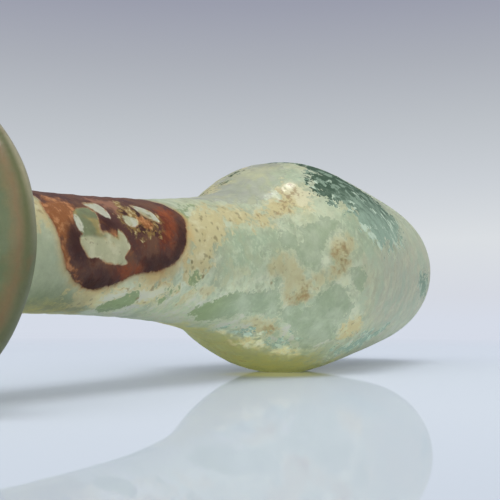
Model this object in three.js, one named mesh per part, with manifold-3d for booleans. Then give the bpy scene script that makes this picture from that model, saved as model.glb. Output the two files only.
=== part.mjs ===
// A small blown glass perfume flask, lying on its side:
// a long neck with a folded rim, and a bulb that tapers to a rounded base.
import * as THREE from 'three';
import * as BufferGeometryUtils from 'three/addons/utils/BufferGeometryUtils.js';
import Module from 'manifold-3d';

// Sizes of the glass, in millimetres, measured along and across its own axis
const bellyDiameter = 32;
const bellyToBase = 46.7;
const bellyToNeck = 20.1;
const neckLength = 54.2;
const neckDiameter = 11.5;
const neckFootDiameter = 18.5;
const flareLength = 9;
const rimDiameter = 27.1;
const rimThickness = 3.2;
const bodyWall = 1.6;
const neckWall = 1.5;
const baseWall = 4.2;

// Depths of the small flat spots under the belly and the rim, which the flask lies on
const bellyFlatDepth = 0.3;
const rimFlatDepth = 0.15;

// How far the hand-made shape is from true
const shoulderSkew = 1.5;
const shoulderSkewSpread = 9.4;
const rimTurn = THREE.MathUtils.degToRad(5.5);
const rimLean = THREE.MathUtils.degToRad(1.4);
const bellyOvality = 0.012;

// Shares that shape the curves
const baseTaper = 0.29;
const baseTaperStart = 0.09;
const baseRoundness = 10;
const baseEndPower = 1 / 2.2;
const shoulderRise = 1.08;
const neckFlarePower = 2.4;
const footBlend = 0.85;
const lipInnerAngle = THREE.MathUtils.degToRad(230);

// Number of facets around the flask, and of steps along each stretch of its wall
const segmentsAround = 44;
const steps = {
  base: 15,
  shoulder: 11,
  neck: 9,
  flare: 5,
  lip: 6,
  funnel: 5,
  bore: 7,
  innerShoulder: 9,
  innerBase: 11,
};

const mouthFace = -(bellyToNeck + neckLength);
const flareStart = mouthFace + flareLength;
const lipRadius = rimThickness / 2;
const lipCentre = { along: mouthFace + lipRadius, out: rimDiameter / 2 - lipRadius };

// The outer skin and the inner skin follow the same curves, each from its own radii and lengths
const outerSkin = {
  belly: bellyDiameter / 2,
  foot: neckFootDiameter / 2,
  neck: neckDiameter / 2,
  baseLength: bellyToBase,
};
const innerSkin = {
  belly: bellyDiameter / 2 - bodyWall,
  foot: neckFootDiameter / 2 - neckWall,
  neck: neckDiameter / 2 - neckWall,
  baseLength: bellyToBase - baseWall,
};

function smoothMax(a, b, blend) {
  return (a + b + Math.hypot(a - b, blend)) / 2;
}

// Radius of a skin at a place along the axis: 0 at the widest circle, negative towards the mouth
function radiusAt(along, skin) {
  if (along >= 0) {
    const share = Math.min(along / skin.baseLength, 1);
    const taper = 1 - (baseTaper * share * share) / (share + baseTaperStart);
    return skin.belly * taper * Math.pow(1 - Math.pow(share, baseRoundness), baseEndPower);
  }
  const climb = THREE.MathUtils.clamp(1 + along / bellyToNeck, -1, 1);
  const rise = Math.sin((Math.PI / 2) * Math.sign(climb) * Math.pow(Math.abs(climb), shoulderRise));
  const shoulder = skin.foot + (skin.belly - skin.foot) * rise;
  const alongNeck = THREE.MathUtils.clamp((along - flareStart) / (-bellyToNeck - flareStart), 0, 1);
  const neck = skin.neck + (skin.foot - skin.neck) * Math.pow(alongNeck, neckFlarePower);
  return smoothMax(neck, shoulder, footBlend);
}

// Points of one stretch of a skin, from one place along the axis to another, without the last one
function skinStretch(from, to, count, skin, spacing = (share) => share) {
  const points = [];
  for (let i = 0; i < count; i++) {
    const along = from + (to - from) * spacing(i / count);
    points.push(new THREE.Vector2(along, radiusAt(along, skin)));
  }
  return points;
}

// A quarter of an ellipse that starts along the neck and ends straight outwards
function quarterFlare(share, start, end) {
  const angle = (share * Math.PI) / 2;
  return new THREE.Vector2(
    start.along + (end.along - start.along) * Math.sin(angle),
    start.out + (end.out - start.out) * (1 - Math.cos(angle)),
  );
}

// The whole section, from the outer middle of the base, round the lip, to the inner middle of the base
function wallSection() {
  const points = [];
  const outerBase = outerSkin.baseLength;
  const innerBase = innerSkin.baseLength;
  const closeToEnd = (share) => 1 - Math.pow(1 - share, 2);
  const leaveEnd = (share) => share * share;
  points.push(...skinStretch(outerBase, 0, steps.base, outerSkin, leaveEnd));
  points.push(...skinStretch(0, -bellyToNeck, steps.shoulder, outerSkin));
  points.push(...skinStretch(-bellyToNeck, flareStart, steps.neck, outerSkin));

  const flareFoot = { along: flareStart, out: radiusAt(flareStart, outerSkin) };
  const flareTop = { along: mouthFace + rimThickness, out: lipCentre.out };
  for (let i = 0; i < steps.flare; i++) {
    points.push(quarterFlare(i / steps.flare, flareFoot, flareTop));
  }

  for (let i = 0; i <= steps.lip; i++) {
    const angle = (lipInnerAngle * i) / steps.lip;
    points.push(new THREE.Vector2(
      lipCentre.along + lipRadius * Math.cos(angle),
      lipCentre.out + lipRadius * Math.sin(angle),
    ));
  }

  const boreStart = flareStart - neckWall;
  const funnelTop = { along: points.at(-1).x, out: points.at(-1).y };
  const funnelFoot = { along: boreStart, out: radiusAt(boreStart, innerSkin) };
  for (let i = steps.funnel - 1; i > 0; i--) {
    points.push(quarterFlare(i / steps.funnel, funnelFoot, funnelTop));
  }

  points.push(...skinStretch(boreStart, -bellyToNeck, steps.bore, innerSkin));
  points.push(...skinStretch(-bellyToNeck, 0, steps.innerShoulder, innerSkin));
  points.push(...skinStretch(0, innerBase, steps.innerBase, innerSkin, closeToEnd));
  points.push(new THREE.Vector2(innerBase, 0));
  return points;
}

// The flask drifted from true while the glass was soft
function handMade(point) {
  const { x, y, z } = point;
  const nearShoulder = Math.exp(-Math.pow((x + bellyToNeck) / shoulderSkewSpread, 2));
  const nearRim = THREE.MathUtils.smoothstep(-x, -flareStart - flareLength, -mouthFace);
  const nearBelly = Math.exp(-Math.pow(x / bellyToNeck, 2));
  point.x += shoulderSkew * (z / outerSkin.foot) * nearShoulder;
  point.x += (z * Math.tan(rimLean) - y * Math.tan(rimTurn)) * nearRim;
  point.y *= 1 + bellyOvality * nearBelly;
  point.z *= 1 - bellyOvality * nearBelly;
  return point;
}

// Turns the section about the flask's own axis, which runs along X with the mouth at the low end
function turnedWall(section) {
  const profile = section.map((point) => new THREE.Vector2(Math.max(point.y, 0), point.x)).reverse();
  const wall = new THREE.LatheGeometry(profile, segmentsAround);
  wall.rotateZ(-Math.PI / 2);
  wall.deleteAttribute('normal');
  wall.deleteAttribute('uv');
  const places = wall.attributes.position;
  const point = new THREE.Vector3();
  for (let i = 0; i < places.count; i++) {
    handMade(point.fromBufferAttribute(places, i));
    places.setXYZ(i, point.x, point.y, point.z);
  }
  return BufferGeometryUtils.mergeVertices(wall, 1e-4);
}

// Lowest point of one end of the flask once it is tipped by an angle
function lowestPoint(wall, tip, belongs) {
  const places = wall.attributes.position;
  const point = new THREE.Vector3();
  const lowest = new THREE.Vector3(0, 0, Infinity);
  for (let i = 0; i < places.count; i++) {
    point.fromBufferAttribute(places, i);
    if (belongs(point.x)) {
      point.applyAxisAngle(new THREE.Vector3(0, 1, 0), -tip);
      if (point.z < lowest.z) {
        lowest.copy(point);
      }
    }
  }
  return lowest;
}

// Lays the flask on its belly and its rim, with the belly's resting place at the origin
function layDown(wall) {
  const isBelly = (along) => along > -bellyToNeck;
  const isRim = (along) => along < flareStart;
  let tip = 0;
  for (let round = 0; round < 20; round++) {
    const belly = lowestPoint(wall, tip, isBelly);
    const rim = lowestPoint(wall, tip, isRim);
    const gap = (rim.z + rimFlatDepth) - (belly.z + bellyFlatDepth);
    tip += Math.atan2(gap, belly.x - rim.x);
  }
  const belly = lowestPoint(wall, tip, isBelly);
  wall.rotateY(-tip);
  wall.translate(-belly.x, 0, -(belly.z + bellyFlatDepth));
  return wall;
}

// The flask and what is taken off it are closed solids
const wasm = await Module();
wasm.setup();

function solidOf(geometry) {
  const merged = BufferGeometryUtils.mergeVertices(geometry, 1e-4);
  return new wasm.Manifold(new wasm.Mesh({
    numProp: 3,
    vertProperties: new Float32Array(merged.attributes.position.array),
    triVerts: new Uint32Array(merged.index.array),
  }));
}

function geometryOf(solid) {
  const mesh = solid.getMesh();
  const geometry = new THREE.BufferGeometry();
  geometry.setAttribute('position', new THREE.BufferAttribute(new Float32Array(mesh.vertProperties), 3));
  geometry.setIndex(new THREE.BufferAttribute(new Uint32Array(mesh.triVerts), 1));
  geometry.computeVertexNormals();
  return geometry;
}

// Takes off what would reach below the surface that the flask lies on
function flattenUnderside(wall) {
  const cutDepth = bellyDiameter;
  const cutLength = 3 * (bellyToBase - mouthFace);
  const below = new THREE.BoxGeometry(cutLength, 3 * bellyDiameter, cutDepth);
  below.deleteAttribute('normal');
  below.deleteAttribute('uv');
  below.translate(0, 0, -cutDepth / 2);
  return geometryOf(solidOf(wall).subtract(solidOf(below)));
}

const weatheredGlass = new THREE.MeshStandardMaterial({
  color: new THREE.Color(0.5, 0.58, 0.46),
  roughness: 0.4,
  metalness: 0,
});

const flask = new THREE.Mesh(flattenUnderside(layDown(turnedWall(wallSection()))), weatheredGlass);
flask.name = 'flask';

const object = new THREE.Group();
object.add(flask);

export default object;
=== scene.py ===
import math
from types import SimpleNamespace
import bpy
import numpy as np
from mathutils import Matrix, Vector


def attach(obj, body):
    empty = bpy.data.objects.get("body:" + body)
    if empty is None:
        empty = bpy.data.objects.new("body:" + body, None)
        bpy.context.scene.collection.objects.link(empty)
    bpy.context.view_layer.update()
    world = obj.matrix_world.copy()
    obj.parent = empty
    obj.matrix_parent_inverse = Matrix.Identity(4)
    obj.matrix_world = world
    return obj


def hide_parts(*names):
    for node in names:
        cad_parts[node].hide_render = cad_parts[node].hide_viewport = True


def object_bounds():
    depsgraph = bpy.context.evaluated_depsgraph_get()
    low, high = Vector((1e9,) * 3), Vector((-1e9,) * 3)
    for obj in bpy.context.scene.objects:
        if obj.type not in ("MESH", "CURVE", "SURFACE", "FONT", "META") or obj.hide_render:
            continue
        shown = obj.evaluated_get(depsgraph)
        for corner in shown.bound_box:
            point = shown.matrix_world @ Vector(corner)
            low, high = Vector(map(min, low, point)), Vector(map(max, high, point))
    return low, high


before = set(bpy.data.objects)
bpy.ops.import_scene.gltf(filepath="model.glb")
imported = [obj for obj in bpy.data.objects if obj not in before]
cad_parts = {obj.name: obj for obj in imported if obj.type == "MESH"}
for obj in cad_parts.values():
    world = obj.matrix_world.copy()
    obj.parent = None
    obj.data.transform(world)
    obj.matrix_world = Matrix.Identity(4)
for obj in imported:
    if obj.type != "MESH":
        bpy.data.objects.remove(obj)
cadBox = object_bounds()
print("frame loaded:", sorted(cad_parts))

mm = 0.001

# Sizes of the glass in millimetres. Along its axis, 0 is the widest circle and the mouth is negative
glass = {
    "bellyDiameter": 32.0,
    "bellyToBase": 46.7,
    "bellyToNeck": 20.1,
    "neckLength": 54.2,
    "neckDiameter": 11.5,
    "neckFootDiameter": 18.5,
    "flareLength": 9.0,
    "rimDiameter": 27.1,
    "rimThickness": 3.2,
    "bodyWall": 1.6,
    "neckWall": 1.5,
    "baseWall": 4.2,
    "bellyFlatDepth": 0.3,
    "rimFlatDepth": 0.15,
    "shoulderSkew": 1.5,
    "shoulderSkewSpread": 9.4,
    "rimTurn": 5.5,            # degrees
    "rimLean": 1.4,            # degrees
    "bellyOvality": 0.012,
    "baseTaper": 0.29,
    "baseTaperStart": 0.09,
    "baseRoundness": 10,
    "baseEndPower": 1 / 2.2,
    "shoulderRise": 1.08,
    "neckFlarePower": 2.4,
    "footBlend": 0.85,
    "lipInnerAngle": 230,      # degrees round the lip's section
    "columns": 288,            # points round the flask
    "outerRings": 262,
    "lipRings": 14,
    "innerRings": 66,
    "sectionSteps": 900,       # fine steps of a skin's line, before the rings are spread along it
    "endCrowding": 1.6,        # how much closer those steps lie by the middle of the base
}
mouthFace = -(glass["bellyToNeck"] + glass["neckLength"])
flareStart = mouthFace + glass["flareLength"]
lipRadius = glass["rimThickness"] / 2
lipOut = glass["rimDiameter"] / 2 - lipRadius
outerSkin = {
    "belly": glass["bellyDiameter"] / 2,
    "foot": glass["neckFootDiameter"] / 2,
    "neck": glass["neckDiameter"] / 2,
    "base": glass["bellyToBase"],
}
innerSkin = {
    "belly": outerSkin["belly"] - glass["bodyWall"],
    "foot": outerSkin["foot"] - glass["neckWall"],
    "neck": outerSkin["neck"] - glass["neckWall"],
    "base": outerSkin["base"] - glass["baseWall"],
}


def smoothStep(value, low, high):
    share = np.clip((value - low) / (high - low), 0, 1)
    return share * share * (3 - 2 * share)


def radiusAt(along, skin):
    share = np.clip(along / skin["base"], 0, 1)
    taper = 1 - glass["baseTaper"] * share**2 / (share + glass["baseTaperStart"])
    bulb = skin["belly"] * taper * (1 - share ** glass["baseRoundness"]) ** glass["baseEndPower"]
    climb = np.clip(1 + along / glass["bellyToNeck"], -1, 1)
    rise = np.sin(np.pi / 2 * np.sign(climb) * np.abs(climb) ** glass["shoulderRise"])
    shoulder = skin["foot"] + (skin["belly"] - skin["foot"]) * rise
    alongNeck = np.clip((along - flareStart) / (-glass["bellyToNeck"] - flareStart), 0, 1)
    neck = skin["neck"] + (skin["foot"] - skin["neck"]) * alongNeck ** glass["neckFlarePower"]
    front = (neck + shoulder + np.hypot(neck - shoulder, glass["footBlend"])) / 2
    return np.where(along >= 0, bulb, front)


# Points of a section line, spread evenly over its length
def spreadEvenly(line, count):
    gaps = np.hypot(*np.diff(line, axis=0).T)
    reach = np.concatenate([[0], np.cumsum(gaps)])
    wanted = np.linspace(0, reach[-1], count)
    return np.stack([np.interp(wanted, reach, line[:, k]) for k in (0, 1)], -1)


def quarterFlare(start, end, count):
    angle = np.linspace(0, np.pi / 2, count)
    along = start[0] + (end[0] - start[0]) * np.sin(angle)
    out = start[1] + (end[1] - start[1]) * (1 - np.cos(angle))
    return np.stack([along, out], -1)


# The section runs from the outer middle of the base, round the lip, to the inner middle of the base
def sectionLine():
    fine = glass["sectionSteps"]
    crowding = glass["endCrowding"]
    outer = outerSkin["base"] - (outerSkin["base"] - flareStart) * np.linspace(0, 1, fine) ** crowding
    outerLine = np.stack([outer, radiusAt(outer, outerSkin)], -1)
    outerFlare = quarterFlare(outerLine[-1], (mouthFace + glass["rimThickness"], lipOut), fine // 8)
    angle = np.radians(np.linspace(0, glass["lipInnerAngle"], glass["lipRings"] + 2)[1:-1])
    lip = np.stack([mouthFace + lipRadius * (1 + np.cos(angle)), lipOut + lipRadius * np.sin(angle)], -1)
    boreStart = flareStart - glass["neckWall"]
    inner = boreStart + (innerSkin["base"] - boreStart) * (1 - np.linspace(1, 0, fine) ** crowding)
    innerLine = np.stack([inner, radiusAt(inner, innerSkin)], -1)
    lastLip = math.radians(glass["lipInnerAngle"])
    lipEnd = (mouthFace + lipRadius * (1 + math.cos(lastLip)), lipOut + lipRadius * math.sin(lastLip))
    innerFlare = quarterFlare(innerLine[0], lipEnd, fine // 8)[::-1]
    outerLine[0, 1] = innerLine[-1, 1] = 0
    outside = spreadEvenly(np.concatenate([outerLine, outerFlare[1:]]), glass["outerRings"])
    inside = spreadEvenly(np.concatenate([innerFlare, innerLine[1:]]), glass["innerRings"])
    isInside = np.repeat([0.0, 1.0], [len(outside) + len(lip), len(inside)])
    return np.concatenate([outside, lip, inside]), isInside


def handMade(points):
    x, y, z = points.T
    nearShoulder = np.exp(-(((x + glass["bellyToNeck"]) / glass["shoulderSkewSpread"]) ** 2))
    nearRim = smoothStep(-x, -flareStart - glass["flareLength"], -mouthFace)
    nearBelly = np.exp(-((x / glass["bellyToNeck"]) ** 2))
    lean = z * math.tan(math.radians(glass["rimLean"])) - y * math.tan(math.radians(glass["rimTurn"]))
    moved = x + glass["shoulderSkew"] * z / outerSkin["foot"] * nearShoulder + lean * nearRim
    return np.stack([
        moved,
        y * (1 + glass["bellyOvality"] * nearBelly),
        z * (1 - glass["bellyOvality"] * nearBelly),
    ], -1)


def tipped(points, tip):
    x, y, z = points.T
    return np.stack([x * math.cos(tip) - z * math.sin(tip), y, x * math.sin(tip) + z * math.cos(tip)], -1)


# Tip and shift that lay the flask on its belly and its rim, with the belly's resting place at the origin
def restingPlace(points):
    belly = points[points[:, 0] > -glass["bellyToNeck"]]
    rim = points[points[:, 0] < flareStart]
    tip = 0.0
    for _ in range(20):
        low = min(tipped(belly, tip), key=lambda p: p[2])
        end = min(tipped(rim, tip), key=lambda p: p[2])
        gap = end[2] + glass["rimFlatDepth"] - low[2] - glass["bellyFlatDepth"]
        tip += math.atan2(gap, low[0] - end[0])
    low = min(tipped(belly, tip), key=lambda p: p[2])
    return tip, np.array([-low[0], 0, -(low[2] + glass["bellyFlatDepth"])])


cloudNoise = {
    "axisPrimes": (73856093, 19349663, 83492791),
    "seedPrime": 2654435761,
    "mixPrime": 1274126177,
    "layerShare": 0.55,        # strength of each finer layer against the one before
    "gain": 1.5,
}


# A level between -1 and 1 for a corner of the grid, always the same for the same seed
def cornerLevel(corner, seed):
    key = corner @ np.array(cloudNoise["axisPrimes"]) + seed * cloudNoise["seedPrime"]
    key = (key ^ (key >> 13)) * cloudNoise["mixPrime"] & 0x7FFFFFFF
    key = (key ^ (key >> 15)) & 0xFFFF
    return key / (0xFFFF / 2) - 1


# Smooth seeded noise between about -1 and 1, with finer and finer layers
def cloud(points, size, seed, layers=3):
    total = np.zeros(len(points))
    weight = 0.0
    for layer in range(layers):
        place = points / (size / 2**layer) + seed * 17.31 + layer * 5.7
        cell = np.floor(place).astype(np.int64)
        part = place - cell
        part = part * part * (3 - 2 * part)
        level = np.zeros(len(points))
        for corner in range(8):
            step = np.array([corner & 1, corner >> 1 & 1, corner >> 2])
            share = np.prod(np.where(step, part, 1 - part), -1)
            level += share * cornerLevel(cell + step, seed)
        total += level * cloudNoise["layerShare"] ** layer
        weight += cloudNoise["layerShare"] ** layer
    return total / weight * cloudNoise["gain"]


# How far a place lies inside a closed outline, in millimetres: positive inside, negative outside
def insideOutline(along, turn, outline, soften=2, reach=5.0):
    corners = np.array(outline, float)
    for _ in range(soften):
        after = np.roll(corners, -1, axis=0)
        corners = np.stack([corners * 0.75 + after * 0.25, corners * 0.25 + after * 0.75], 1).reshape(-1, 2)
    perDegree = float(radiusAt(corners[:, 0].mean(), outerSkin)) * math.pi / 180
    places = np.stack([along, turn * perDegree], -1)
    corners = corners * [1, perDegree]
    near = np.all((places > corners.min(0) - reach) & (places < corners.max(0) + reach), axis=1)
    places = places[near]
    nearest = np.full(len(places), reach)
    inside = np.zeros(len(places), bool)
    for a, b in zip(corners, np.roll(corners, -1, axis=0)):
        edge = b - a
        share = np.clip((places - a) @ edge / (edge @ edge + 1e-12), 0, 1)
        nearest = np.minimum(nearest, np.hypot(*(places - a - share[:, None] * edge).T))
        crosses = (a[1] > places[:, 1]) != (b[1] > places[:, 1])
        where = a[0] + (places[:, 1] - a[1]) / (edge[1] if edge[1] else 1e-12) * edge[0]
        inside ^= crosses & (places[:, 0] < where)
    depth = np.full(len(along), -reach)
    depth[near] = np.where(inside, nearest, -nearest)
    return depth


# Openings in the crust through which pale flecks show
paleFlecks = [
    [(-53.4, 56), (-50.8, 60), (-49.9, 50), (-50, 34), (-51, 38), (-52.2, 45)],
    [(-45.0, 59), (-43.1, 57), (-42.2, 48), (-41.6, 32), (-43.0, 37), (-44.0, 42), (-44.7, 49)],
]

# Outlines of each kind of weathering: millimetres along the axis, degrees round it (0 to the viewer, 90 up)
weathering = {
    "crust": [
        [(-58.8, 57), (-59.7, 37), (-59.0, 17), (-58.7, -4), (-57.8, -15), (-56.3, -26), (-54.8, -33),
         (-52.6, -37), (-50.1, -33), (-48.5, -26), (-46.1, -17), (-44.1, -14.5), (-42.6, -14),
         (-40.7, -9), (-39.5, 0), (-38.5, 12), (-37.3, 30), (-37.0, 46), (-37.8, 60), (-40, 82),
         (-47, 104), (-55, 102), (-60, 76)],
    ],
    "gaps": [
        [(-56.1, 9), (-55.1, 16), (-53.7, 12), (-52.6, 17), (-51.7, 21), (-50.9, 16), (-50.0, 15),
         (-49.6, 25), (-49.2, 18), (-48.8, 12), (-48.2, 8), (-48.7, 0), (-49.4, -4), (-48.6, -8),
         (-49.0, -11), (-50.6, -11), (-52.3, -9), (-53.4, -3), (-54.7, -6), (-55.3, 0)],
        [(-55.4, 40), (-53.8, 48), (-52.6, 50), (-52.0, 41), (-52.1, 33), (-52.6, 24), (-52.6, 14),
         (-53.6, 10), (-54.6, 13), (-55.5, 19), (-56, 28)],
        *paleFlecks,
        [(-47.9, 42), (-46.6, 40), (-45.4, 37), (-46.0, 29), (-47, 26), (-48.1, 30)],
    ],
    "fleck": [
        *paleFlecks,
        [(-47.2, 34), (-46.4, 33), (-46, 28), (-47, 26)],
        [(-55.9, 30), (-55.4, 36), (-55.0, 26), (-55.2, 18), (-55.9, 20)],
    ],
    "soot": [
        [(-46.4, -2), (-43.8, 3), (-41.2, 1), (-39.9, -3), (-41.0, -11), (-43.6, -15), (-45.9, -14)],
        [(-55, -27), (-52.7, -25), (-50.2, -26), (-50.4, -33), (-52.6, -38), (-54.6, -34)],
        [(-57.8, 24), (-56, 26), (-55.5, 12), (-55.9, 4), (-55.1, -3), (-53.8, -9), (-55.6, -13),
         (-57.2, -4), (-57.8, 8)],
        [(-51.5, 35), (-50.3, 39), (-49.9, 33), (-50.0, 23), (-51.3, 19), (-52.3, 24)],
        [(-38.0, 40), (-38.3, 20), (-38.7, 9), (-40.1, 0), (-40.9, 8), (-39.9, 20), (-38.9, 36)],
    ],
    "rust": [
        [(-41.2, 50), (-38.9, 53), (-38.5, 43), (-39.2, 30), (-40.2, 17), (-41.7, 8), (-43.6, 8),
         (-43.2, 20), (-41.8, 32)],
        [(-49.9, -13), (-47.7, -10), (-46.0, -8), (-46.4, -18), (-48.4, -24), (-50, -20)],
    ],
    "ochre": [
        [(-58.9, 6), (-58.2, 4), (-57.3, -10), (-56.0, -21), (-54.6, -29), (-55.6, -30), (-57, -20),
         (-58.4, -8)],
        [(-58.6, 55), (-55.6, 58), (-54.8, 48), (-56.0, 32), (-57.4, 22), (-58.2, 6), (-59.2, 14),
         (-59.8, 34)],
        [(-51.3, 21), (-50.3, 22), (-49.8, 17), (-50.8, 13)],
        [(-44.9, 39), (-43.0, 36), (-42.9, 27), (-44.8, 22), (-45.8, 30)],
        [(-53, 34), (-52.2, 34), (-52.3, 18), (-52.9, 14), (-53.3, 22)],
    ],
    "mauve": [
        [(-53, 66), (-47.6, 66), (-46.0, 55), (-46.8, 42), (-48.5, 38), (-49.2, 50), (-50.6, 60)],
    ],
    "mixed": [
        [(-48.6, 52), (-46.4, 56), (-43.5, 50), (-42, 34), (-42.6, 24), (-45, 19), (-47.2, 23),
         (-48.6, 34)],
    ],
    "stain": [
        [(-45.6, -14), (-42.6, -13), (-40.0, -9), (-38.4, 2), (-37.2, 18), (-36.8, 40), (-38, 42),
         (-39.4, -2), (-40.2, -19), (-42.4, -24), (-44.6, -25)],
        [(-57.6, -22), (-55, -35), (-52.5, -40), (-49.5, -34), (-52.6, -34), (-55.4, -27)],
    ],
    "cream": [
        [(-12.4, 63), (-11, 57), (-10.5, 50), (-10.3, 43), (-11.7, 38), (-14, 36.5), (-16.5, 36),
         (-18.6, 33), (-20.6, 30), (-23, 29), (-24, 38), (-22.5, 47), (-18.5, 51), (-15.4, 56)],
        [(-39, 44), (-35, 50), (-31, 58), (-26, 58), (-23.4, 46), (-22.6, 34), (-25.4, 32), (-28.6, 28),
         (-31.6, 20), (-33, 8), (-33.8, -6), (-34.6, -20), (-36, -30), (-38, -22), (-39.4, -12),
         (-38.2, 8), (-37, 24)],
        [(-8.3, -35), (-6.3, -29), (-3.4, -28), (-1.6, -33), (-2.4, -39), (-5.7, -43)],
        [(-55.6, -44), (-52.9, -37), (-49.3, -33), (-46.4, -22), (-41, -22), (-38, -30), (-41, -50),
         (-46, -60), (-52, -70), (-55, -58)],
        [(-62.4, 24), (-60.5, 20), (-59.6, 30), (-59.4, 50), (-61, 56), (-62.6, 44)],
    ],
    "bright": [
        [(-13.6, 62), (-11.3, 58), (-10.5, 48), (-11.2, 40), (-13.6, 38), (-14.8, 44), (-15, 52)],
        [(-51, -41), (-46, -34), (-41, -28), (-39.5, -34), (-44, -44), (-49, -50)],
    ],
    "pitted": [
        [(-22.6, 39), (-20, 35), (-17.4, 40), (-14.8, 45), (-12.9, 52), (-11.9, 58), (-13, 59),
         (-14.8, 53), (-17, 50), (-20, 46), (-22, 43)],
    ],
    "tan": [
        [(-23, 2), (-21, 6), (-18.4, 6), (-16.8, -2), (-15, -12), (-12.6, -6), (-11.8, 4), (-12.4, 14),
         (-9.8, 17), (-8.2, 12), (-8.6, 2), (-10.2, -5), (-12.8, -13), (-13.6, -19), (-14.6, -29),
         (-17, -30), (-18.6, -22), (-20.6, -14), (-23, -10)],
        [(-21.7, -48), (-18.8, -43), (-16, -47), (-15.4, -58), (-17.8, -64), (-20.4, -58)],
        [(-45.4, -17), (-42.6, -15), (-41.4, -20), (-43.5, -26)],
        [(-37.4, -27), (-33, -20), (-33, -34), (-37, -42)],
    ],
    "rusty": [
        [(-12.9, 4), (-11.8, 9), (-10, 9), (-9.1, 3), (-10, -3), (-11.6, -4)],
        [(-17.2, -23), (-15.6, -19), (-14.2, -22), (-13.9, -28), (-15.8, -31), (-17.4, -28)],
        [(-17.9, -51), (-16.6, -50), (-15.8, -56), (-17.2, -59)],
    ],
    "bare": [
        [(-39.5, 42), (-37, 52), (-32.3, 64), (-30.2, 68), (-33.5, 53), (-37.8, 39)],
        [(-32.4, -60), (-33.2, -52), (-32.6, -42), (-30.3, -35), (-27, -31), (-24.8, -27), (-22, -23),
         (-19.8, -24), (-18.3, -29), (-17.1, -40), (-19.6, -44), (-23.2, -48), (-25, -54), (-26.6, -64),
         (-29.4, -70)],
        [(-18.6, -36), (-16.2, -32), (-14.0, -29), (-13.8, -21), (-12.4, -14), (-10.5, -12), (-8.2, -16),
         (-6.3, -24), (-7.4, -32), (-6.7, -41), (-7.7, -50), (-9.2, -57), (-11.6, -54), (-12.8, -47),
         (-16.2, -44)],
        [(-16.9, 22), (-14.4, 30), (-11.8, 28), (-9.8, 25), (-8.8, 21), (-10.4, 18), (-12.4, 17),
         (-13.2, 5), (-13.8, -4), (-16.1, -6), (-17.4, 0), (-16.8, 14)],
        [(-19.4, 35), (-17.4, 32), (-17.0, 25), (-18.2, 24), (-19.4, 29)],
        [(-20.2, 22), (-17.6, 22), (-17.6, 11), (-20.2, 9), (-20.4, 16)],
        [(-38.2, -14), (-36.6, -13), (-35.7, -20), (-36.2, -28)],
        [(-49.8, -66), (-48.9, -48), (-46.1, -38), (-45.2, -34), (-44.5, -48), (-45.3, -62),
         (-47.2, -74)],
        [(-41.2, -49), (-40.4, -35), (-39.3, -26), (-38.8, -37), (-39.7, -47)],
        [(-8.9, -2), (-6.4, -3), (-5.2, -9), (-6.4, -17), (-7.9, -12)],
        [(-24.8, 12), (-23, 14), (-22.4, 8), (-24, 4)],
        [(-22, -14), (-20, -11), (-19.2, -16), (-20.6, -19)],
    ],
    "ghost": [
        [(-31.4, 25), (-25.5, 27), (-21, 26), (-19, 12), (-20, 0), (-23, -8), (-27.9, -9), (-32.3, -8),
         (-32, 8)],
        [(-9, 75), (-7, 68), (-8.6, 56), (-10.8, 51), (-11.6, 60), (-13.8, 63), (-15.9, 67), (-12, 74)],
        [(-9, 33), (-4, 31), (1, 26), (2, 12), (-3, 2), (-6, -1), (-8, 8), (-10, 18)],
        [(-12.6, -62), (-6, -54), (-1, -50), (-2, -60), (-8, -66)],
    ],
    "deep": [
        [(-3, 96), (-1, 78), (3, 64), (9, 50), (14, 40), (17, 29), (15, 19), (11.7, 14), (8.6, 12),
         (6.4, 7), (5, 13), (2, 10), (-0.6, 7), (-2, 12), (-4.6, 14), (-6, 19), (-5, 24), (-6.8, 30),
         (-7.3, 36), (-9, 42), (-9.6, 48), (-8, 56), (-5.4, 64), (-4.2, 76), (-6, 92)],
        [(2.4, 12), (4.6, 15), (7.4, 13), (7.2, 6), (5, 8)],
        [(-4.4, -56), (-3, -46), (1.1, -42), (7.1, -38), (15, -34), (9, -46), (0, -58)],
        [(23.3, -4), (31, -2), (35, -12), (34, -24), (27, -16)],
        [(-25, -74), (-20, -62), (-16, -62), (-12, -54), (-9.6, -60), (-14, -70), (-20, -80)],
    ],
    "mint": [
        [(-12, 46), (-9.8, 49), (-9.2, 41), (-7.6, 34), (-6.8, 26), (-6.8, 18), (-9.4, 19), (-11, 24),
         (-12.6, 31), (-13, 38)],
        [(-6.4, 12), (-3.4, 13), (-1, 8), (-2.6, 0), (-5.4, -2), (-7, 4)],
        [(-34, -34), (-29, -26), (-24, -20), (-22, -20), (-26, -25), (-31, -34), (-34, -50)],
    ],
    "haze": [
        [(-9, 112), (-7.8, 92), (-6.4, 79), (-8.1, 70), (-12.7, 75), (-14.9, 88), (-16, 104)],
        [(-27, 82), (-24.6, 68), (-22, 66), (-23, 76), (-24, 90)],
    ],
    "clear": [
        [(-27, 62), (-23, 56), (-19.5, 54), (-15.6, 57), (-13, 62), (-10.4, 66), (-7, 78), (-4, 94),
         (-4, 112), (-12, 128), (-24, 118), (-30, 90)],
    ],
    "calm": [
        [(-70, 30), (-62, 26), (-60.4, 12), (-59.2, -8), (-57.6, -24), (-55.2, -38), (-52.4, -48),
         (-50.4, -66), (-51.6, -84), (-70, -84)],
    ],
    "rose": [
        [(-6.2, 6), (0.4, 8), (8, 10), (18, 17), (24, 22), (36, 30), (46, 0), (38, -34), (20.2, -40),
         (8, -40), (-2, -30), (-6, -18)],
    ],
    "olive": [
        [(-34, -84), (-27, -78), (-20, -74), (-15.9, -67), (-10, -62), (-4, -60), (6, -64), (12, -76),
         (10, -104), (0, -120), (-20, -120), (-32, -104)],
        [(-66, -62), (-58, -62), (-51, -72), (-50, -84), (-52, -96), (-66, -96)],
    ],
}

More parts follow.
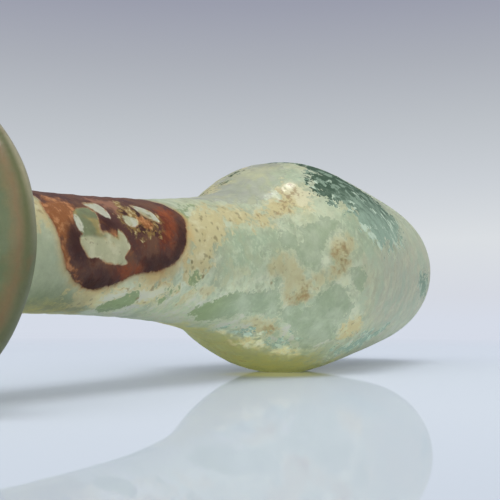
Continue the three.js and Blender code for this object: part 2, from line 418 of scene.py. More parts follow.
# How far the edge of each outline wanders, in millimetres
edgeWander = {
    "crust": 0.3, "gaps": 0.25, "fleck": 0.2, "soot": 0.5, "rust": 0.5, "ochre": 0.5, "mauve": 0.5,
    "mixed": 0.4, "stain": 0.5, "cream": 0.9, "bright": 0.5, "pitted": 0.5, "tan": 0.8, "rusty": 0.6,
    "bare": 0.6, "ghost": 1.2, "deep": 0.9, "mint": 0.8, "haze": 1.2, "clear": 1.0, "calm": 0.8,
    "rose": 1.5, "olive": 1.5,
}

# How common each is on the sides that the photo doesn't show. What isn't named here is absent there
hiddenCover = {
    "cream": -0.35, "tan": -1.3, "rusty": -2.2, "bare": -0.4, "ghost": 0.1, "deep": -1.1, "clear": -2.4,
    "rose": -1.2,
}


spread = {
    "wanderSize": 2.4,         # millimetres from bend to bend of an edge
    "patchSize": 7.0,          # millimetres across a patch on a hidden side
    "patchStrength": 2.2,
    "farOutside": -5.0,        # millimetres
    "never": -9,
    "seenMiddle": 5,           # degrees: the middle of the side that the photo shows
}


# How deep each place lies inside each kind of weathering, in millimetres
def weatheringFields(along, turn, points, isInside):
    fields = {}
    outside = isInside < 0.5
    seen = smoothStep(np.cos(np.radians(turn[outside] - spread["seenMiddle"])), -0.1, 0.2)
    for number, (name, outlines) in enumerate(weathering.items()):
        level = np.full(outside.sum(), spread["farOutside"])
        for outline in outlines:
            level = np.maximum(level, insideOutline(along[outside], turn[outside], outline))
        wander = cloud(points[outside], spread["wanderSize"], number + 3) * edgeWander[name]
        patches = cloud(points[outside], spread["patchSize"], number + 31, 4) * spread["patchStrength"]
        patches += hiddenCover.get(name, spread["never"]) + spread["never"] * seen
        fields[name] = np.full(len(along), spread["farOutside"])
        fields[name][outside] = np.maximum(level + wander, patches)
    fields["crust"] = np.minimum(fields["crust"], -fields["gaps"])
    return fields


relief = {
    "crustRise": 0.07,         # millimetres above the glass
    "crustGrain": 0.05,
    "grainSize": 0.9,
    "creamRise": 0.05,
    "bareDrop": 0.05,
    "deepDrop": 0.06,
    "wave": 0.05,              # slow unevenness of blown glass
    "waveSize": 14,
    "turnLines": 0.02,         # fine lines left by turning on the pipe
    "turnLineCount": 12,
    "turnLineSlant": 2.1,      # radians per millimetre along the flask
}


# Height of the skin above or below the plain glass, in millimetres
def reliefAt(points, fields, isInside):
    skin = smoothStep(fields["cream"], -0.2, 0.3) * relief["creamRise"]
    skin -= smoothStep(fields["bare"], -0.2, 0.3) * relief["bareDrop"]
    skin -= smoothStep(fields["deep"], -0.2, 0.3) * relief["deepDrop"]
    crust = smoothStep(fields["crust"], -0.1, 0.8)
    grain = cloud(points, relief["grainSize"], 71) * relief["crustGrain"]
    skin = skin * (1 - crust) + crust * (relief["crustRise"] + grain)
    slow = cloud(points, relief["waveSize"], 72, 2) * relief["wave"]
    angle = np.arctan2(points[:, 2], points[:, 1])
    lines = np.sin(points[:, 0] * relief["turnLineSlant"] + angle * relief["turnLineCount"])
    return np.where(isInside > 0, slow * 0.5, skin + slow + lines * relief["turnLines"])


# Points of the resting flask ring by ring, what is known of each, and their places before it was laid down
def shapeFlask():
    line, isInside = sectionLine()
    ahead = np.gradient(line, axis=0)
    outward = np.stack([ahead[:, 1], -ahead[:, 0]], -1)
    outward /= np.linalg.norm(outward, axis=1, keepdims=True) + 1e-12
    columns = glass["columns"]
    along = np.repeat(line[:, 0], columns)
    out = np.repeat(line[:, 1], columns)
    turn = np.tile(np.linspace(-180, 180, columns, endpoint=False), len(line))
    inside = np.repeat(isInside, columns)
    normal = np.repeat(outward, columns, axis=0)
    angle = np.radians(turn)

    def onAxis(alongAxis, outFrom):
        return np.stack([alongAxis, -outFrom * np.cos(angle), outFrom * np.sin(angle)], -1)

    plain = onAxis(along, out)
    tip, shift = restingPlace(handMade(plain))
    fields = weatheringFields(along, turn, plain, inside)
    height = reliefAt(plain, fields, inside)
    raised = onAxis(along + normal[:, 0] * height, np.maximum(out + normal[:, 1] * height, 0))
    resting = tipped(handMade(raised), tip) + shift
    resting[:, 2] = np.maximum(resting[:, 2], 0)
    cadMiddle = (cadBox[0].x + cadBox[1].x) / 2 / mm
    resting[:, 0] += cadMiddle - (resting[:, 0].min() + resting[:, 0].max()) / 2
    fields.update(inside=inside, along=along, turn=turn)
    return resting, fields, plain, len(line)


# Rings of points joined by faces. The first ring and the last one shrink to a point
def meshFrom(name, points, ringCount, columns):
    first, last = points[:columns].mean(0), points[-columns:].mean(0)
    verts = np.concatenate([[first], points[columns:-columns], [last]])
    pairs = [(i, (i + 1) % columns) for i in range(columns)]
    rings = ringCount - 2
    faces = [(0, 1 + j, 1 + i) for i, j in pairs]
    for ring in range(rings - 1):
        low = 1 + ring * columns
        high = low + columns
        faces += [(low + i, low + j, high + j, high + i) for i, j in pairs]
    end = 1 + (rings - 1) * columns
    faces += [(end + i, end + j, len(verts) - 1) for i, j in pairs]
    mesh = bpy.data.meshes.new(name)
    mesh.from_pydata((verts * mm).tolist(), [], faces)
    mesh.update()
    return mesh


# Values of the mesh's points, from values of every point of every ring
def perPoint(values):
    columns = glass["columns"]
    values = np.asarray(values, np.float32)
    return np.concatenate([[values[0]], values[columns:-columns], [values[-1]]])


skinPlaces = {
    "swirlTwist": 0.07,        # radians per millimetre, for streaks that wind along the flask
    "swirlStretch": 0.25,
}


# Twisted places for the streaks, and places on the unrolled skin for the single marks
def placesOnSkin(plain, along, turn):
    x, y, z = perPoint(plain).T
    angle = x * skinPlaces["swirlTwist"]
    swirl = np.stack([
        x * skinPlaces["swirlStretch"],
        y * np.cos(angle) - z * np.sin(angle),
        y * np.sin(angle) + z * np.cos(angle),
    ], -1)
    skinAlong = perPoint(along)
    arc = np.radians(perPoint(turn)) * radiusAt(skinAlong, outerSkin)
    return {"swirl": swirl, "unrolled": np.stack([skinAlong, arc, np.zeros(len(arc))], -1)}


def buildFlask():
    points, fields, plain, ringCount = shapeFlask()
    mesh = meshFrom("flaskGlass", points, ringCount, glass["columns"])
    for name, values in fields.items():
        layer = mesh.attributes.new(name, "FLOAT", "POINT")
        layer.data.foreach_set("value", perPoint(values))
    for name, places in placesOnSkin(plain, fields["along"], fields["turn"]).items():
        layer = mesh.attributes.new(name, "FLOAT_VECTOR", "POINT")
        layer.data.foreach_set("vector", places.astype(np.float32).ravel())
    for polygon in mesh.polygons:
        polygon.use_smooth = True
    made = bpy.data.objects.new("flaskGlass", mesh)
    bpy.context.scene.collection.objects.link(made)
    triangles = sum(len(polygon.vertices) - 2 for polygon in mesh.polygons)
    print("flask mesh:", len(mesh.vertices), "points,", triangles, "triangles")
    return made


flask = buildFlask()


# One value in a material: plain arithmetic on it adds the nodes
class Flow:
    def __init__(self, paint, socket):
        self.paint = paint
        self.socket = socket

    def math(self, operation, *others):
        return self.paint.node("ShaderNodeMath", {"operation": operation}, dict(enumerate((self, *others))))

    def __add__(self, other):
        return self.math("ADD", other)

    def __radd__(self, other):
        return self.math("ADD", other)

    def __sub__(self, other):
        return self.math("SUBTRACT", other)

    def __rsub__(self, other):
        return self.paint.node("ShaderNodeMath", {"operation": "SUBTRACT"}, {0: other, 1: self})

    def __mul__(self, other):
        return self.math("MULTIPLY", other)

    def __rmul__(self, other):
        return self.math("MULTIPLY", other)

    def __truediv__(self, other):
        return self.math("DIVIDE", other)

    def most(self, other):
        return self.math("MAXIMUM", other)

    def least(self, other):
        return self.math("MINIMUM", other)


# Adds nodes to a material or to the world
class Paint:
    def __init__(self, owner):
        owner.use_nodes = True
        self.tree = owner.node_tree
        self.tree.nodes.clear()

    def node(self, kind, settings=None, values=None, output=0):
        made = self.tree.nodes.new(kind)
        for key, value in (settings or {}).items():
            if key == "stops":
                ramp = made.color_ramp
                while len(ramp.elements) < len(value):
                    ramp.elements.new(1)
                for element, (place, colour) in zip(ramp.elements, value):
                    element.position = place
                    element.color = (*colour, 1)
            else:
                setattr(made, key, value)
        for key, value in (values or {}).items():
            socket = made.inputs[key]
            if isinstance(value, Flow):
                self.tree.links.new(value.socket, socket)
            elif isinstance(value, tuple) and len(value) == 3 and len(socket.default_value) == 4:
                socket.default_value = (*value, 1)
            else:
                socket.default_value = value
        return Flow(self, made.outputs[output]) if made.outputs else made

    def vector(self, operation, *values, output=0):
        return self.node("ShaderNodeVectorMath", {"operation": operation}, dict(enumerate(values)), output)

    def scaled(self, place, factor):
        return self.node("ShaderNodeVectorMath", {"operation": "SCALE"}, {0: place, "Scale": factor})

    def field(self, name, output="Fac"):
        return self.node("ShaderNodeAttribute", {"attribute_name": name}, output=output)

    def noise(self, place, size, detail=3.0, roughness=0.55, distortion=0.0):
        return self.node("ShaderNodeTexNoise", {}, {
            "Vector": place, "Scale": 1 / size, "Detail": detail, "Roughness": roughness,
            "Distortion": distortion,
        })

    # A different level for every cell of a field of angular flakes
    def flakes(self, place, size):
        colour = self.node("ShaderNodeTexVoronoi", {}, {"Vector": place, "Scale": 1 / size}, output=1)
        return self.node("ShaderNodeSeparateColor", {}, {0: colour})

    # Small dots strewn over a share of the places
    def dots(self, place, spacing, radius, share):
        settings = {"Vector": place, "Scale": 1 / spacing}
        gap = self.node("ShaderNodeTexVoronoi", {}, settings)
        chosen = self.step(self.flakes(place, spacing), 1 - share, 1 - share + 0.02)
        return self.step(gap, radius / spacing, radius * 0.7 / spacing) * chosen

    def step(self, value, low, high):
        return self.node("ShaderNodeMapRange", {"interpolation_type": "SMOOTHSTEP"}, {
            "Value": value, "From Min": low, "From Max": high,
        })

    # A colour over another one. Each is a mixed colour or the name of one in the finish
    def mix(self, below, above, share):
        below, above = (finish[colour] if isinstance(colour, str) else colour for colour in (below, above))
        return self.node("ShaderNodeMix", {"data_type": "RGBA"}, {0: share, 6: below, 7: above}, output=2)

    # Several colours laid over a first one, each with the share of the place that it covers
    def layers(self, colour, *layers):
        for above, share in layers:
            colour = self.mix(colour, above, share)
        return colour

    def blend(self, share, first, second):
        return self.node("ShaderNodeMixShader", {}, {0: share, 1: first, 2: second})

    def ramp(self, value, *stops):
        return self.node("ShaderNodeValToRGB", {"stops": stops}, {"Fac": value})


# A colour given as it looks on a screen, from 0 to 255
def tone(red, green, blue):
    def linear(part):
        share = part / 255
        return share / 12.92 if share < 0.04045 else ((share + 0.055) / 1.055) ** 2.4

    return tuple(linear(part) for part in (red, green, blue))


finish = {
    "glassTint": tone(214, 232, 212),
    "glassTintDeep": tone(160, 200, 178),
    "milkGreen": tone(166, 174, 154),
    "milkPale": tone(200, 206, 188),
    "milkWarm": tone(202, 202, 168),
    "flakePale": tone(206, 216, 194),
    "bareGreen": tone(152, 168, 148),
    "bareLight": tone(172, 184, 168),
    "leafGreen": tone(122, 142, 104),
    "ghostGreen": tone(150, 172, 152),
    "deepGreen": tone(54, 72, 60),
    "deepMiddle": tone(122, 142, 128),
    "deepFlake": tone(168, 184, 168),
    "cream": tone(198, 184, 142),
    "creamWarm": tone(190, 172, 128),
    "creamPale": tone(224, 220, 192),
    "brightCream": tone(216, 210, 180),
    "hazeCream": tone(200, 196, 164),
    "pit": tone(120, 94, 60),
    "pitBrown": tone(140, 100, 62),
    "tan": tone(184, 168, 130),
    "tanDark": tone(150, 132, 92),
    "tanPale": tone(190, 182, 148),
    "rustSpeck": tone(142, 96, 54),
    "calmPale": tone(158, 168, 146),
    "calmGreen": tone(88, 106, 80),
    "calmOlive": tone(130, 120, 68),
    "rose": tone(180, 178, 160),
    "roseGrey": tone(168, 182, 168),
    "roseGreen": tone(144, 166, 152),
    "rosePink": tone(184, 174, 162),
    "veil": tone(190, 188, 184),
    "veilViolet": tone(164, 160, 170),
    "veilDark": tone(120, 128, 116),
    "olive": tone(218, 208, 164),
    "oliveDeep": tone(194, 182, 132),
    "crustBrown": tone(88, 62, 48),
    "crustPurple": tone(68, 46, 42),
    "crustRed": tone(88, 42, 22),
    "soot": tone(44, 24, 22),
    "rust": tone(90, 42, 24),
    "rustBright": tone(120, 62, 34),
    "ochre": tone(120, 76, 44),
    "ochrePale": tone(156, 110, 74),
    "mauve": tone(128, 92, 74),
    "mixedOlive": tone(112, 92, 52),
    "mixedPale": tone(160, 150, 112),
    "stain": tone(200, 164, 106),
    "fringe": tone(150, 84, 38),
    "windowCream": tone(188, 186, 154),
    "windowGreen": tone(100, 102, 74),
    "windowYellow": tone(172, 138, 66),
    "fleck": tone(206, 206, 190),
    # Painted highlight on the rim's upper back edge
    "rimPale": tone(156, 148, 122),
    "rimBrown": tone(94, 70, 34),
    "rimGreen": tone(66, 78, 46),
    "inner": tone(226, 228, 204),
    "through": tone(222, 227, 204),
    "throughOlive": tone(250, 242, 186),
    "throughDeep": tone(116, 136, 122),
    # Painted light: how much paler the film is made towards the underside
    "paintedUnderLight": 0.75,
    "brightest": 0.92,
    "glassRoughness": 0.12,
    "glassBending": 1.5,
    "skinRoughness": 0.44,
    "skinBending": 1.38,
    "coatRoughness": 0.12,
    "dullRoughness": 0.9,
    "marks": [
        {"place": (-35.9, 26), "size": 0.42},
        {"place": (-37.7, -4), "size": 0.34},
        {"place": (-34.4, 1), "size": 0.3},
        {"place": (-35.2, -17), "size": 0.42},
        {"place": (-35.9, 16), "size": 0.26},
        {"place": (-44.8, -45), "size": 0.36},
        {"place": (-10.6, 2), "size": 0.36},
        {"place": (-21.4, -17), "size": 0.36},
    ],
}


# Pale and dark bands round the folded rim, from its back to its front, by millimetres along the axis; the
# pale band at the back edge is partly a painted highlight, the others are the rim's own colours
rimBands = [
    (-71.0, tone(158, 150, 126)),
    (-71.5, tone(128, 122, 94)),
    (-72.0, tone(76, 82, 50)),
    (-73.2, tone(72, 76, 38)),
    (-73.7, tone(96, 74, 38)),
    (-74.05, tone(84, 80, 44)),
    (-74.25, tone(66, 82, 48)),
    (-74.5, tone(80, 88, 54)),
]


# The noises that break up edges and colours, all in millimetres on the glass
def surfaceNoises(paint):
    place = paint.scaled(paint.node("ShaderNodeTexCoord", output="Object"), 1 / mm)
    settings = {"Vector": place, "Scale": 1 / 0.9, "Detail": 2.0}
    wobble = paint.node("ShaderNodeTexNoise", {}, settings, output=1)
    wobble = paint.vector("SUBTRACT", wobble, (0.5, 0.5, 0.5))
    shaken = paint.vector("ADD", place, paint.scaled(wobble, 1.4))
    # In the dark flank, flakes and streaks run down towards the base
    downhill = (0.76, 0.0, -0.65)
    share = paint.vector("DOT_PRODUCT", shaken, downhill, output=1)
    drawn = paint.vector("SUBTRACT", shaken, paint.scaled(downhill, share * 0.66))
    noise = SimpleNamespace(
        broad=paint.noise(place, 6.0, 5, 0.6, 0.6),
        mottle=paint.noise(place, 3.0, 6, 0.66, 0.3),
        small=paint.noise(place, 1.4, 5, 0.64, 0.4),
        fine=paint.noise(place, 0.5, 3, 0.6),
        streaks=paint.noise(paint.field("swirl", "Vector"), 1.3, 5, 0.6),
        chips=paint.flakes(shaken, 1.0),
        shards=paint.flakes(drawn, 0.75),
        drawnOut=paint.noise(drawn, 0.9, 5, 0.62),
        specks=paint.dots(shaken, 0.8, 0.24, 0.6).most(paint.dots(shaken, 1.6, 0.36, 0.6)),
    )
    noise.edge = (noise.fine - 0.5) + (noise.small - 0.5) * 1.6 + (noise.chips - 0.5) * 0.5
    return noise


# How far each kind of weathering covers a place, from 0 to 1: its roughness of edge and the width of its fade
edges = {
    "crust": (0.22, -0.12, 0.14),
    "gaps": (0.8, -0.05, 0.07),
    "fleck": (1.2, -0.12, 0.12),
    "soot": (1.2, -0.8, 0.8),
    "rust": (1.2, -0.9, 0.9),
    "ochre": (1.6, -0.5, 0.5),
    "mauve": (1.6, -0.5, 0.6),
    "mixed": (2.4, -0.5, 0.5),
    "stain": (1.2, -1.0, 0.7),
    "cream": (3.0, -0.4, 0.5),
    "bright": (2.4, -0.12, 0.2),
    "pitted": (2.0, -0.3, 0.3),
    "tan": (3.2, -0.9, 0.9),
    "rusty": (2.4, -0.8, 0.8),
    "bare": (1.9, -0.07, 0.09),
    "ghost": (4.0, -0.8, 0.6),
    "deep": (4.6, -0.14, 0.18),
    "mint": (3.2, -0.5, 0.5),
    "haze": (3.2, -0.8, 0.8),
    "clear": (2.6, -0.5, 0.6),
    "calm": (1.4, -1.2, 1.0),
    "rose": (4.0, -1.5, 1.5),
    "olive": (3.0, -2.0, 2.0),
}


# Milky film over most of the body and the neck
def milkColour(paint, noise, cover):
    mottle, small, fine, chips = noise.mottle, noise.small, noise.fine, noise.chips
    ghost = cover.ghost * (0.4 + paint.step(small + (mottle - 0.5), 0.4, 0.56) * 0.55)
    return paint.layers(
        "milkGreen",
        ("milkPale", paint.step(mottle, 0.42, 0.58)),
        ("milkWarm", paint.step(noise.broad + small * 0.5, 0.7, 0.86) * 0.7),
        ("ghostGreen", paint.step(small + (chips - 0.5) * 0.22, 0.54, 0.59) * 0.6),
        ("flakePale", cover.mint * 0.6),
        ("ghostGreen", ghost),
        ("flakePale", paint.step(fine + mottle * 0.5, 0.78, 0.86) * 0.6),
        ("bareGreen", paint.step(fine + small * 0.5, 0.62, 0.56) * 0.35),
        ("flakePale", paint.step(chips, 0.8, 0.86) * 0.3),
        ("ghostGreen", paint.step(chips, 0.24, 0.18) * 0.35),
    )


# Rosy film over the base's end
def roseColour(paint, noise):
    mottle, small = noise.mottle, noise.small
    return paint.layers(
        "rose",
        ("roseGrey", paint.step(mottle, 0.42, 0.58)),
        ("rosePink", paint.step(noise.broad, 0.46, 0.6) * 0.5),
        ("flakePale", paint.step(small, 0.5, 0.62) * 0.5),
        ("roseGreen", paint.step(mottle + (small - 0.5) * 0.6, 0.55, 0.6) * 0.55),
        ("creamPale", paint.step(mottle + (noise.chips - 0.5) * 0.12, 0.44, 0.39) * 0.45),
    )


# Thin streaky veil over the clear glass of the shoulder
def veilColour(paint, noise, cover):
    small, streaks = noise.small, noise.streaks
    return paint.layers(
        "veil",
        ("veilViolet", paint.step(noise.mottle, 0.46, 0.58) * 0.8),
        ("veilDark", paint.step(streaks + (small - 0.5) * 0.5, 0.48, 0.6) * 0.85),
        ("creamPale", paint.step(streaks + small * 0.5, 0.76, 0.86) * 0.6),
        ("hazeCream", cover.haze * (0.5 + paint.step(small, 0.42, 0.56) * 0.5)),
    )


# Smooth glass beside the rim, darker towards its underside
def calmColour(paint, noise):
    turn = paint.field("turn") + (noise.small - 0.5) * 30
    shade = paint.step(turn + (noise.small - 0.5) * 10 + (noise.mottle - 0.5) * 60, -18, -62)
    return paint.layers("calmPale", ("calmGreen", shade), ("calmOlive", paint.step(turn, -50, -68)))


def creamColour(paint, noise, cover):
    return paint.layers(
        "cream",
        ("creamWarm", paint.step(noise.mottle, 0.5, 0.64)),
        ("creamPale", paint.step(noise.small, 0.52, 0.66) * 0.5),
        ("brightCream", cover.bright),
        ("pit", noise.specks * (1 - cover.bright * 0.8) * 0.75),
    )


# Bare glass, greener along the neck
def bareColour(paint, noise):
    along = paint.field("along")
    return paint.layers(
        "bareGreen",
        ("bareLight", paint.step(noise.mottle, 0.4, 0.62)),
        ("leafGreen", paint.step(along, -25, -31) * paint.step(along, -56, -50)),
        ("flakePale", paint.step(noise.fine, 0.62, 0.7) * 0.35),
    )


# Dark glass on the upper flank, with shards of film left on it
def deepColour(paint, noise):
    depth = paint.step(paint.field("turn") + (noise.drawnOut - 0.5) * 50, 50, 14)
    nearEdge = paint.step(paint.field("deep"), 2.2, 0.2)
    shards = noise.shards + (noise.drawnOut - 0.5) * 1.2 + nearEdge * 0.12 + depth * 0.2
    return paint.layers(
        "deepGreen",
        ("deepMiddle", depth),
        ("deepMiddle", paint.step(shards, 0.66, 0.8) * 0.6),
        ("deepFlake", paint.step(shards, 1.0, 1.06) * 0.7),
    )


# All of the film, from the layer that lies lowest to the one on top
def filmColour(paint, noise, cover):
    small, fine = noise.small, noise.fine
    rustSpecks = paint.step(fine + (small - 0.5) * 0.8, 0.5, 0.62)
    blots = paint.step(fine + (small - 0.5) * 1.2, 0.52, 0.58)
    bareEdge = paint.step(paint.field("bare") + noise.edge * 1.9, -0.7, -0.08) * paint.step(small, 0.4, 0.56)
    tan = paint.mix("tanPale", "tan", paint.step(small, 0.42, 0.6))
    olive = paint.mix("olive", "oliveDeep", paint.step(small + noise.mottle * 0.5, 0.7, 0.84))
    return paint.layers(
        milkColour(paint, noise, cover),
        (roseColour(paint, noise), cover.rose * 0.9),
        (veilColour(paint, noise, cover), cover.clear * (1 - cover.ghost * 0.6)),
        (calmColour(paint, noise), cover.calm * 0.9),
        (tan, cover.tan * 0.8),
        ("tanDark", cover.rusty * 0.6),
        ("rustSpeck", cover.rusty * rustSpecks * 0.85),
        ("pit", cover.tan * noise.specks * 0.6),
        (creamColour(paint, noise, cover), cover.cream),
        ("pitBrown", cover.pitted * blots * 0.8),
        ("flakePale", bareEdge * (1 - cover.rose) * 0.5),
        (bareColour(paint, noise), cover.bare),
        (deepColour(paint, noise), cover.deep),
        (olive, cover.olive * (0.85 - cover.calm * 0.6)),
    )


# Brown crust round the neck
def crustColour(paint, noise, cover):
    mottle, small, fine = noise.mottle, noise.small, noise.fine
    rust = paint.mix("rust", "rustBright", paint.step(mottle + (small - 0.5) * 0.6, 0.4, 0.62))
    ochre = paint.mix("ochre", "ochrePale", paint.step(small + (fine - 0.5) * 0.6, 0.48, 0.64))
    scraps = paint.layers(
        "mixedOlive",
        ("soot", paint.step(small + (fine - 0.5) * 0.6, 0.5, 0.44)),
        ("mixedPale", paint.step(fine + (small - 0.5) * 0.8, 0.56, 0.7)),
    )
    return paint.layers(
        "crustPurple",
        ("crustBrown", paint.step(mottle, 0.4, 0.62)),
        ("crustRed", paint.step(small, 0.48, 0.66) * 0.4),
        ("mauve", cover.mauve * 0.8),
        (rust, cover.rust * 0.85),
        ("ochre", paint.step(fine, 0.6, 0.68) * 0.3),
        (scraps, cover.mixed * 0.85),
        (ochre, cover.ochre * 0.9),
        ("soot", cover.soot * 0.76),
    )


# What shows through the openings in the crust
def windowColour(paint, noise, cover):
    upperLeft = paint.step(paint.field("turn"), 11, 17) * paint.step(paint.field("along"), -51.4, -52.3)
    leaf = paint.mix("windowGreen", "leafGreen", paint.step(noise.mottle, 0.46, 0.64) * 0.6)
    return paint.layers(
        "windowCream",
        ("creamPale", paint.step(noise.small, 0.46, 0.6) * 0.5),
        ("pit", noise.specks * 0.8),
        (leaf, upperLeft),
        ("windowYellow", cover.ochre * 0.85),
        ("fleck", cover.fleck),
    )


def rimColour(paint, noise):
    low, high = rimBands[-1][0], rimBands[0][0]
    stops = [((along - low) / (high - low), colour) for along, colour in reversed(rimBands)]
    along = paint.field("along")
    share = (along + (noise.small - 0.5) * 0.7 - low) / (high - low)
    # Painted highlight: a pale streak along the upper back edge of the rim
    paintedRimHighlight = paint.step(paint.field("turn"), -8, 26) * paint.step(along, -73.2, -72.5)
    stains = paint.mix("rimBrown", "rimGreen", paint.step(noise.broad, 0.45, 0.55))
    return paint.layers(
        paint.ramp(share, *stops),
        ("rimPale", paintedRimHighlight * 0.75),
        (stains, paint.step(noise.mottle, 0.48, 0.62) * 0.45),
    )


# Share of the single dark marks, each at its own place
def markShare(paint, noise):
    unrolled = paint.field("unrolled", "Vector")
    marks = 0.0
    for mark in finish["marks"]:
        along, turn = mark["place"]
        arc = math.radians(turn) * float(radiusAt(along, outerSkin))
        gap = paint.vector("DISTANCE", unrolled, (along, arc, 0.0), output=1) + (noise.fine - 0.5) * 0.5
        marks = paint.step(gap, mark["size"] * 0.8, mark["size"] * 0.35) + marks
    return marks.least(1.0)


# The whole skin: the film, lightened under the flask by painted light, then the stain, fringe and crust, the
# rim and the inside
def skinColour(paint, noise, cover, rimShare):
    colour = paint.mix(filmColour(paint, noise, cover), "pit", markShare(paint, noise) * 0.9)
    # Painted light from below: the colour is made paler towards the underside, except on the smooth glass by
    # the rim
    under = paint.step((paint.field("turn") * (-math.pi / 180)).math("SINE"), 0.08, 0.8)
    paintedLightLifted = paint.scaled(colour, 1 + under * (1 - cover.calm) * finish["paintedUnderLight"])
    limit = (finish["brightest"],) * 3
    crustEdge = paint.field("crust") + noise.edge * 0.3
    return paint.layers(
        paint.vector("MINIMUM", paintedLightLifted, limit),
        ("stain", cover.stain * 0.75),
        ("stain", paint.step(crustEdge, -1.3, -0.2) * (0.55 - under * 0.35)),
        ("fringe", paint.step(crustEdge, -0.45, 0.05) * 0.85),
        (windowColour(paint, noise, cover), cover.gaps),
        (crustColour(paint, noise, cover), cover.crust),
        (rimColour(paint, noise), rimShare),
        ("inner", paint.field("inside")),
    )


# How closed the film is, from bare glass at 0 to a full skin at 1
def filmShare(paint, noise, cover):
    film = 0.94 + (noise.mottle - 0.5) * 0.5 + (noise.small - 0.5) * 0.3
    film = film + cover.cream * 0.3 + cover.tan * 0.2
    film = film - cover.clear * 0.3 - cover.bare * 0.12 + cover.deep * 0.1
    return film.most(cover.crust).most(0.4).least(1.0) * (1 - paint.field("inside") * 0.7)


def skinBump(paint, noise, cover):
    height = cover.cream * 0.05 + cover.crust * 0.2 + (noise.fine - 0.5) * 0.06 - cover.bare * 0.03
    height = height + cover.crust * (noise.small - 0.5) * 0.2
    return paint.node("ShaderNodeBump", {}, {"Strength": 0.6, "Distance": 0.001, "Height": height})


# Light carried through both walls, in the shade of what it passes
def lightThrough(paint, cover, bump):
    through = {}
    for name in ("through", "throughOlive", "throughDeep"):
        through[name] = paint.node("ShaderNodeBsdfTranslucent", {}, {"Color": finish[name], "Normal": bump})
    lit = paint.blend(cover.olive, through["through"], through["throughOlive"])
    return paint.blend(cover.deep, lit, through["throughDeep"])


# Clear glass under a skin, which is glossy, dull where the crust and the dark flank lie, and lit from behind
def weatheredGlass():
    material = bpy.data.materials.new("weathered_glass")
    paint = Paint(material)
    noise = surfaceNoises(paint)
    cover = SimpleNamespace()
    for name, (rough, low, high) in edges.items():
        setattr(cover, name, paint.step(paint.field(name) + noise.edge * rough, low, high))
    rimShare = paint.step(paint.field("along"), -70.2, -71.2)
    colour = skinColour(paint, noise, cover, rimShare)
    bump = skinBump(paint, noise, cover)

    bodyTint = paint.mix("glassTint", "glassTintDeep", cover.deep.most(cover.bare * 0.5))
    body = paint.node("ShaderNodeBsdfPrincipled", {}, {
        "Base Color": bodyTint, "Roughness": finish["glassRoughness"], "IOR": finish["glassBending"],
        "Transmission Weight": 1.0, "Normal": bump,
    })
    matt = cover.cream * 0.2 + cover.tan * 0.15 + cover.deep * 0.2
    coat = (0.35 - cover.cream * 0.15 + cover.bright * 0.4) * (1 - cover.crust * 0.6)
    skin = paint.node("ShaderNodeBsdfPrincipled", {}, {
        "Base Color": colour, "Roughness": finish["skinRoughness"] + matt - cover.crust * 0.1,
        "IOR": finish["skinBending"], "Normal": bump,
        "Coat Weight": coat * (1 - cover.deep * 0.85), "Coat Roughness": finish["coatRoughness"],
    })
    dull = paint.node("ShaderNodeBsdfPrincipled", {}, {
        "Base Color": colour, "Roughness": finish["dullRoughness"], "Specular IOR Level": 0.0, "Normal": bump,
    })
    glow = (0.5 + cover.olive * 0.2 - rimShare * 0.36 - cover.deep * 0.42) * (1 - cover.crust)
    dullShare = (cover.deep * 0.75 + cover.crust * 0.65).least(1.0)
    skin = paint.blend(glow, skin, lightThrough(paint, cover, bump))
    skin = paint.blend(dullShare, skin, dull)
    surface = paint.blend(filmShare(paint, noise, cover), body, skin)
    paint.node("ShaderNodeOutputMaterial", {}, {"Surface": surface})
    return material


flask.data.materials.append(weatheredGlass())
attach(flask, "root")
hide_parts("flask")
print("weathered glass painted")


# Pale floor that mirrors a little, with a painted pool of light under the belly, and fades into a backdrop
# that darkens upwards
stageLook = {
    "floorSize": 6.0,          # metres
    "floorShade": tone(178, 187, 200),
    "mirrorShade": (0.92, 0.94, 0.96),
    "mirrorShare": 0.3,
    "mirrorRoughness": 0.015,
    "horizon": tone(213, 219, 231),
    "fadeFrom": 0.1,           # metres from the flask
    "fadeTo": 0.33,
    "backdrop": [(0.0, tone(213, 219, 231)), (0.03, tone(213, 217, 226)), (0.09, tone(218, 222, 226)),
                 (0.15, tone(203, 208, 214)), (0.215, tone(188, 193, 199)), (0.28, tone(171, 175, 184)),
                 (0.34, tone(155, 158, 173)), (0.6, tone(150, 156, 168)), (1.0, tone(190, 196, 204))],
    "room": (1.0, 0.93, 0.8),  # the lit room behind the camera
    "roomDirection": (-0.82, -0.43, 0.37),
    "roomGlow": 1.5,
    # Painted light: an olive glow on the floor round the belly's resting place
    "poolPlace": (-0.007, -0.0035, 0.0),   # light that comes through the belly onto the floor
    "paintedPoolGlow": tone(154, 154, 100),
    "poolShare": 0.8,
    "poolFrom": 0.0095,        # metres from its middle
    "poolTo": 0.002,
}


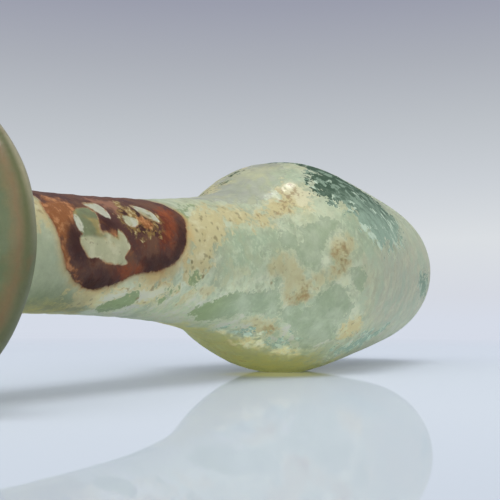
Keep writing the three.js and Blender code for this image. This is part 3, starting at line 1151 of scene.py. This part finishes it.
def buildStage():
    half = stageLook["floorSize"] / 2
    mesh = bpy.data.meshes.new("floor")
    corners = [(-half, -half, 0), (half, -half, 0), (half, half, 0), (-half, half, 0)]
    mesh.from_pydata(corners, [], [(0, 1, 2, 3)])
    floor = bpy.data.objects.new("floor", mesh)
    bpy.context.scene.collection.objects.link(floor)
    material = bpy.data.materials.new("pale_floor")
    paint = Paint(material)
    matt = paint.node("ShaderNodeBsdfDiffuse", {}, {"Color": stageLook["floorShade"]})
    mirror = paint.node("ShaderNodeBsdfGlossy", {}, {
        "Color": stageLook["mirrorShade"], "Roughness": stageLook["mirrorRoughness"],
    })
    place = paint.node("ShaderNodeTexCoord", output="Object")
    # Painted pool of light on the floor under the belly
    fromPool = paint.vector("DISTANCE", place, stageLook["poolPlace"], output=1)
    poolLight = paint.node("ShaderNodeEmission", {}, {"Color": stageLook["paintedPoolGlow"]})
    pool = paint.step(fromPool, stageLook["poolFrom"], stageLook["poolTo"]) * stageLook["poolShare"]
    haze = paint.node("ShaderNodeEmission", {}, {"Color": stageLook["horizon"]})
    fade = paint.step(paint.vector("LENGTH", place, output=1), stageLook["fadeFrom"], stageLook["fadeTo"])
    ground = paint.blend(stageLook["mirrorShare"], matt, mirror)
    ground = paint.blend(pool, ground, poolLight)
    ground = paint.blend(fade, ground, haze)
    paint.node("ShaderNodeOutputMaterial", {}, {"Surface": ground})
    mesh.materials.append(material)

    world = bpy.data.worlds.new("studio")
    bpy.context.scene.world = world
    paint = Paint(world)
    direction = paint.node("ShaderNodeTexCoord", output="Generated")
    rise = paint.node("ShaderNodeSeparateXYZ", {}, {0: direction}, output="Z")
    behindCamera = paint.vector("DOT_PRODUCT", direction, stageLook["roomDirection"], output=1)
    room = paint.scaled(stageLook["room"], paint.step(behindCamera, 0.0, 0.9) * stageLook["roomGlow"])
    sky = paint.vector("ADD", paint.ramp(rise, *stageLook["backdrop"]), room)
    light = paint.node("ShaderNodeBackground", {}, {"Color": sky, "Strength": 1.0})
    paint.node("ShaderNodeOutputWorld", {}, {"Surface": light})


lightsAim = (0, 0, 0.015)
studioLights = {
    "overhead": {"place": (-0.16, -0.19, 0.8), "size": 0.5, "power": 3.65},
    "spark": {"place": (0.203, -0.016, 0.478), "size": 0.06, "power": 0.13},
}


def buildLights():
    for name, look in studioLights.items():
        lamp = bpy.data.lights.new(name, "AREA")
        lamp.shape = "DISK"
        lamp.size = look["size"]
        lamp.energy = look["power"]
        holder = bpy.data.objects.new(name, lamp)
        holder.location = look["place"]
        aim = Vector(lightsAim) - Vector(look["place"])
        holder.rotation_euler = aim.to_track_quat("-Z", "Y").to_euler()
        bpy.context.scene.collection.objects.link(holder)


# Where the photo was taken from
cameraLook = {
    "place": (-121.33, -58.58, 7.355),   # millimetres
    "yaw": 27.565,             # degrees from +X towards +Y
    "pitch": 4.551,
    "roll": 0.173,
    "lens": 64.8,
    "sensor": 36.0,
}


def buildCamera():
    data = bpy.data.cameras.new("photoCamera")
    data.lens = cameraLook["lens"]
    data.sensor_width = cameraLook["sensor"]
    data.clip_start = 0.001
    data.clip_end = 50
    camera = bpy.data.objects.new("photoCamera", data)
    yaw, pitch, roll = (math.radians(cameraLook[key]) for key in ("yaw", "pitch", "roll"))
    forward = Vector((math.cos(yaw) * math.cos(pitch), math.sin(yaw) * math.cos(pitch), math.sin(pitch)))
    level = Vector((math.sin(yaw), -math.cos(yaw), 0))
    upright = level.cross(forward)
    right = math.cos(roll) * level + math.sin(roll) * upright
    up = -math.sin(roll) * level + math.cos(roll) * upright
    turned = Matrix((right, up, -forward)).transposed()
    camera.matrix_world = Matrix.Translation(Vector(cameraLook["place"]) * mm) @ turned.to_4x4()
    bpy.context.scene.collection.objects.link(camera)
    bpy.context.scene.camera = camera


buildStage()
buildLights()
buildCamera()
bpy.context.scene.view_settings.view_transform = "Standard"
print("stage, lights and camera ready")
